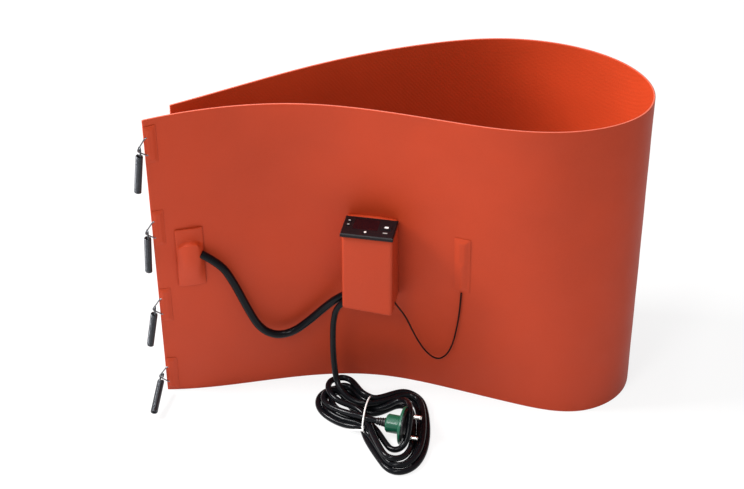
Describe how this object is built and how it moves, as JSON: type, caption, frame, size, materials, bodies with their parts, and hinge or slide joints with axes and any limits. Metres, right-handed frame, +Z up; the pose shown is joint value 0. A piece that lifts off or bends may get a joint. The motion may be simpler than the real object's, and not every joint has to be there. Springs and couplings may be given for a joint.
{
  "type": "drum heater band",
  "caption": "Silicone rubber drum heater band standing as an open loop, with hooked tension springs on its edge, a control box with display, a lead, a sensor and a tied mains cord with plug.",
  "frame": {"origin": "middle of the drum space at the sheet's lower edge, on the ground", "axes": "+X along the loop from the closing edge to the bend, +Y from the control box side to the back, +Z up"},
  "size_m": [0.4487, 0.2534, 0.3],
  "materials": {
    "silicone_sheet": "matte",
    "silicone_patch": "matte",
    "spring_steel": "satin",
    "wire_steel": "satin",
    "lead_rubber": "gloss",
    "cord_rubber": "satin",
    "wire_jacket": "satin",
    "tie_plastic": "matte",
    "green_plastic": "gloss",
    "black_plastic": "gloss",
    "pin_metal": "bright",
    "panel_plastic": "satin",
    "red_window": "gloss",
    "key_plastic": "satin",
    "set_key_plastic": "satin",
    "lamp_lens": "gloss",
    "board_laminate": "satin",
    "digit_plastic": "matte",
    "probe_steel": "satin",
    "relay_plastic": "satin",
    "transformer_shell": "matte",
    "terminal_plastic": "matte"
  },
  "bodies": {
    "band": {"heater_band": "silicone_sheet", "edge_patch_1": "silicone_patch", "anchor_link_1": "wire_steel", "edge_patch_2": "silicone_patch", "anchor_link_2": "wire_steel", "edge_patch_3": "silicone_patch", "anchor_link_3": "wire_steel", "edge_patch_4": "silicone_patch", "anchor_link_4": "wire_steel", "catch_patch_1": "silicone_patch", "catch_hook_1": "wire_steel", "catch_patch_2": "silicone_patch", "catch_hook_2": "wire_steel", "catch_patch_3": "silicone_patch", "catch_hook_3": "wire_steel", "catch_patch_4": "silicone_patch", "catch_hook_4": "wire_steel", "terminal_cover": "silicone_patch", "sensor_patch": "silicone_patch", "sensor_probe": "probe_steel", "control_sleeve": "silicone_patch", "controller_case": "panel_plastic", "panel_bezel": "panel_plastic", "display_window": "red_window", "indicator_lamp": "lamp_lens", "display_board": "board_laminate", "display_module": "digit_plastic", "key_switches": "relay_plastic", "circuit_board": "board_laminate", "power_relay": "relay_plastic", "transformer": "transformer_shell", "terminal_block": "terminal_plastic", "heater_lead": "lead_rubber", "mains_cord": "cord_rubber", "sensor_wire": "wire_jacket", "mains_hank": "cord_rubber", "hank_tie": "tie_plastic", "plug_body": "green_plastic", "plug_face": "black_plastic", "plug_pin_upper": "pin_metal", "plug_pin_lower": "pin_metal", "plug_cord_guard": "cord_rubber"},
    "spring_1": {"tension_spring_1": "spring_steel"},
    "spring_2": {"tension_spring_2": "spring_steel"},
    "spring_3": {"tension_spring_3": "spring_steel"},
    "spring_4": {"tension_spring_4": "spring_steel"},
    "up_key": {"up_key": "key_plastic"},
    "down_key": {"down_key": "key_plastic"},
    "set_key": {"set_key": "set_key_plastic"}
  },
  "joints": [
    {"name": "spring_1_swing", "type": "hinge", "parent": "band", "child": "spring_1", "pos_m": [-0.22155, -0.05339, 0.01576], "axis": [0.7886, 0.0521, -0.6127], "range_deg": [-45, 11]},
    {"name": "spring_2_swing", "type": "hinge", "parent": "band", "child": "spring_2", "pos_m": [-0.2214, -0.05653, 0.09883], "axis": [-0.1551, 0.9874, 0.0313], "range_deg": [0, 85]},
    {"name": "spring_3_swing", "type": "hinge", "parent": "band", "child": "spring_3", "pos_m": [-0.22119, -0.05978, 0.18484], "axis": [-0.2753, 0.9609, 0.0304], "range_deg": [0, 85]},
    {"name": "spring_4_swing", "type": "hinge", "parent": "band", "child": "spring_4", "pos_m": [-0.22092, -0.06304, 0.27184], "axis": [-0.3912, 0.9198, 0.0291], "range_deg": [0, 85]},
    {"name": "up_key_press", "type": "slide", "parent": "band", "child": "up_key", "axis": [0, 0, -1], "range_m": [0, 0.0005], "stiffness_N_per_m": 500, "springref_m": -0.0005},
    {"name": "down_key_press", "type": "slide", "parent": "band", "child": "down_key", "axis": [0, 0, -1], "range_m": [0, 0.0005], "stiffness_N_per_m": 500, "springref_m": -0.0005},
    {"name": "set_key_press", "type": "slide", "parent": "band", "child": "set_key", "axis": [0, 0, -1], "range_m": [0, 0.0005], "stiffness_N_per_m": 500, "springref_m": -0.0005}
  ]
}
